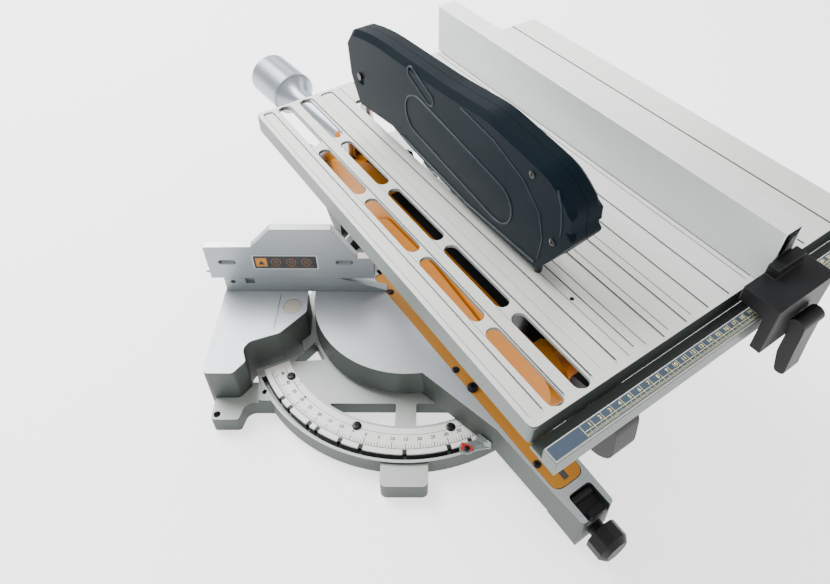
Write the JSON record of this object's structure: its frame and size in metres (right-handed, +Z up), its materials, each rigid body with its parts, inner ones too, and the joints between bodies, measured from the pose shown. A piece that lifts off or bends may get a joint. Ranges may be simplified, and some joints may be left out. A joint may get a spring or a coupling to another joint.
{
  "type": "table top mitre saw",
  "caption": "Mitre saw with a turntable, tilting chop head, sliding fences and a height-adjustable bench table with guard and rip fence on top.",
  "frame": {"origin": "on the bench face, on the turntable's vertical pivot axis", "axes": "+X to the operator's right along the fence, -Y towards the operator, +Z up"},
  "size_m": [0.7053, 0.6404, 0.4484],
  "materials": {
    "cast": "as-cast, tumbled",
    "machined": "milled",
    "table": "ground and brushed",
    "steel": "brushed",
    "screw": "black oxide",
    "amber": "amber paint",
    "kerf": "matte",
    "black": "fine texture",
    "smoked": "smoked translucent",
    "clear": "clear",
    "red": "gloss",
    "scale": "printed",
    "rule": "printed"
  },
  "bodies": {
    "base": {"base_casting": "cast", "mitre_scale_plate": "scale", "scale_screw_1": "screw", "scale_screw_2": "screw", "scale_screw_3": "screw", "scale_screw_4": "screw", "pivot_pin": "steel", "fence_base": "machined", "clamp_plug_left": "table", "clamp_plug_right": "table"},
    "turntable": {"turntable_casting": "cast", "kerf_plate": "kerf", "pointer_mount": "clear", "mitre_pointer": "red", "bevel_scale": "scale", "bevel_pivot_bolt": "steel"},
    "mitre_knob": {"mitre_lock_knob": "black"},
    "latch": {"detent_latch": "black"},
    "bevel": {"bevel_bracket": "cast", "bevel_pointer": "red", "chop_pivot_shaft": "steel", "chop_spring": "steel"},
    "bevel_lever": {"bevel_clamp_lever": "black"},
    "head": {"head_casting": "amber", "gear_cover": "cast", "motor_housing": "amber", "motor_cap": "black", "handle": "black", "dust_spout": "table", "riving_knife": "steel", "guard_pivot_pin": "steel"},
    "trigger": {"trigger": "black"},
    "lock_button": {"lock_off_button": "red"},
    "spindle": {"saw_blade": "steel", "arbor_shaft": "steel", "inner_flange": "steel", "outer_flange": "steel", "arbor_bolt": "screw"},
    "armature": {"motor_armature": "steel"},
    "lower_guard": {"lower_guard": "smoked"},
    "table": {"table_top": "table", "front_rail": "table", "rule_strip": "rule", "table_column_1": "steel", "table_column_2": "steel", "table_column_3": "steel", "table_column_4": "steel"},
    "height_knob": {"table_height_knob": "black"},
    "upper_guard": {"upper_guard_left": "smoked", "upper_guard_right": "smoked", "guard_foot": "black"},
    "rip_fence": {"rip_fence_profile": "machined", "rip_fence_head": "black"},
    "rip_lever": {"rip_fence_lever": "black"},
    "left_fence": {"left_fence": "machined"},
    "left_knob": {"left_fence_knob": "black"},
    "right_fence": {"right_fence": "machined"},
    "right_knob": {"right_fence_knob": "black"}
  },
  "joints": [
    {"name": "mitre_turn", "type": "hinge", "parent": "base", "child": "turntable", "pos_m": [0, 0, 0], "axis": [0, 0, -1], "range_deg": [-15.4, 84.6]},
    {"name": "mitre_knob_turn", "type": "hinge", "parent": "turntable", "child": "mitre_knob", "pos_m": [0.19828, -0.28478, 0.046], "axis": [0.5678, -0.8231, 0], "range_deg": [0, 120]},
    {"name": "latch_lift", "type": "hinge", "parent": "turntable", "child": "latch", "pos_m": [0.18319, -0.26554, 0.069], "axis": [-0.8231, -0.5678, 0], "range_deg": [0, 12], "stiffness_Nm_per_rad": 0.5},
    {"name": "bevel_tilt", "type": "hinge", "parent": "turntable", "child": "bevel", "pos_m": [0, 0, 0.0755], "axis": [0.5678, -0.8231, 0], "range_deg": [0, 48]},
    {"name": "bevel_lever_turn", "type": "hinge", "parent": "turntable", "child": "bevel_lever", "pos_m": [-0.08802, 0.12759, 0.0755], "axis": [0.5678, -0.8231, 0], "range_deg": [0, 40]},
    {"name": "chop", "type": "hinge", "parent": "bevel", "child": "head", "pos_m": [-0.09369, 0.13582, 0.205], "axis": [-0.8231, -0.5678, 0], "range_deg": [0, 45]},
    {"name": "trigger_pull", "type": "slide", "parent": "head", "child": "trigger", "axis": [0, 0, 1], "range_m": [0, 0.004], "stiffness_N_per_m": 500},
    {"name": "lock_button_press", "type": "slide", "parent": "head", "child": "lock_button", "axis": [-0.8231, -0.5678, 0], "range_m": [0, 0.003], "stiffness_N_per_m": 500},
    {"name": "blade_spin", "type": "hinge", "parent": "head", "child": "spindle", "pos_m": [0.04088, -0.05927, 0.196], "axis": [0.8231, 0.5678, 0], "continuous": true},
    {"name": "motor_spin", "type": "hinge", "parent": "head", "child": "armature", "pos_m": [0.05622, -0.08149, 0.228], "axis": [0.8231, 0.5678, 0], "continuous": true},
    {"name": "lower_guard_turn", "type": "hinge", "parent": "head", "child": "lower_guard", "pos_m": [0.04088, -0.05927, 0.196], "axis": [-0.8231, -0.5678, 0], "range_deg": [0, 99.5]},
    {"name": "table_height", "type": "slide", "parent": "head", "child": "table", "axis": [0, 0, 1], "range_m": [-0.051, 0]},
    {"name": "height_knob_turn", "type": "hinge", "parent": "head", "child": "height_knob", "pos_m": [0.16338, -0.17643, 0.228], "axis": [0.8231, 0.5678, 0], "range_deg": [0, 120]},
    {"name": "guard_lift", "type": "hinge", "parent": "head", "child": "upper_guard", "pos_m": [-0.03123, 0.04527, 0.38], "axis": [-0.8231, -0.5678, 0], "range_deg": [0, 40]},
    {"name": "rip_slide", "type": "slide", "parent": "table", "child": "rip_fence", "axis": [0.8231, 0.5678, 0], "range_m": [-0.115, 0.1]},
    {"name": "rip_lever_turn", "type": "hinge", "parent": "rip_fence", "child": "rip_lever", "pos_m": [0.33295, -0.23609, 0.322], "axis": [-0.8231, -0.5678, 0], "range_deg": [0, 80]},
    {"name": "left_fence_slide", "type": "slide", "parent": "base", "child": "left_fence", "axis": [-1, 0, 0], "range_m": [0, 0.11]},
    {"name": "left_knob_turn", "type": "hinge", "parent": "left_fence", "child": "left_knob", "pos_m": [-0.158, 0.034, 0.1061], "axis": [0, 0, 1], "range_deg": [0, 120]},
    {"name": "right_fence_slide", "type": "slide", "parent": "base", "child": "right_fence", "axis": [1, 0, 0], "range_m": [0, 0.06]},
    {"name": "right_knob_turn", "type": "hinge", "parent": "right_fence", "child": "right_knob", "pos_m": [0.158, 0.034, 0.1061], "axis": [0, 0, 1], "range_deg": [0, 120]}
  ],
  "couplings": [
    {"joint": "lower_guard_turn", "follows": "chop", "ratio": 2.2},
    {"joint": "motor_spin", "follows": "blade_spin", "ratio": -3.2447},
    {"joint": "left_fence_slide", "follows": "bevel_tilt", "m_per_rad": 0.1265}
  ]
}
